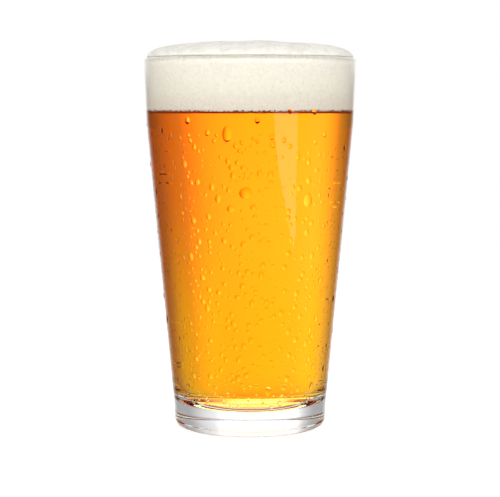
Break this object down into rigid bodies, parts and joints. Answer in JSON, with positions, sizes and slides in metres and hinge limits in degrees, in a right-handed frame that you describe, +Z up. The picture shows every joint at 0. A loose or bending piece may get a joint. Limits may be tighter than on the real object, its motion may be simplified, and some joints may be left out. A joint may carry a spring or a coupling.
{
  "type": "pint of beer",
  "caption": "Tapered straight-sided mixing glass filled with clear golden beer under a domed head of cream foam, with beads of water on its outside.",
  "frame": {"origin": "middle of the glass's foot, on the surface it stands on", "axes": "+Z up along the glass's axis, -Y towards the front that the picture shows, +X to the right"},
  "size_m": [0.0854, 0.0854, 0.1562],
  "materials": {
    "clear_glass": "clear polished soda-lime glass with beads of water on the outside",
    "golden_beer": "clear golden drink, amber where the wall is steep to the eye and yellow in the middle",
    "cream_foam": "matt cream foam of fine bubbles, a little darker towards the beer"
  },
  "bodies": {
    "root": {"glass": "clear_glass", "beer": "golden_beer", "foam": "cream_foam"}
  },
  "joints": []
}
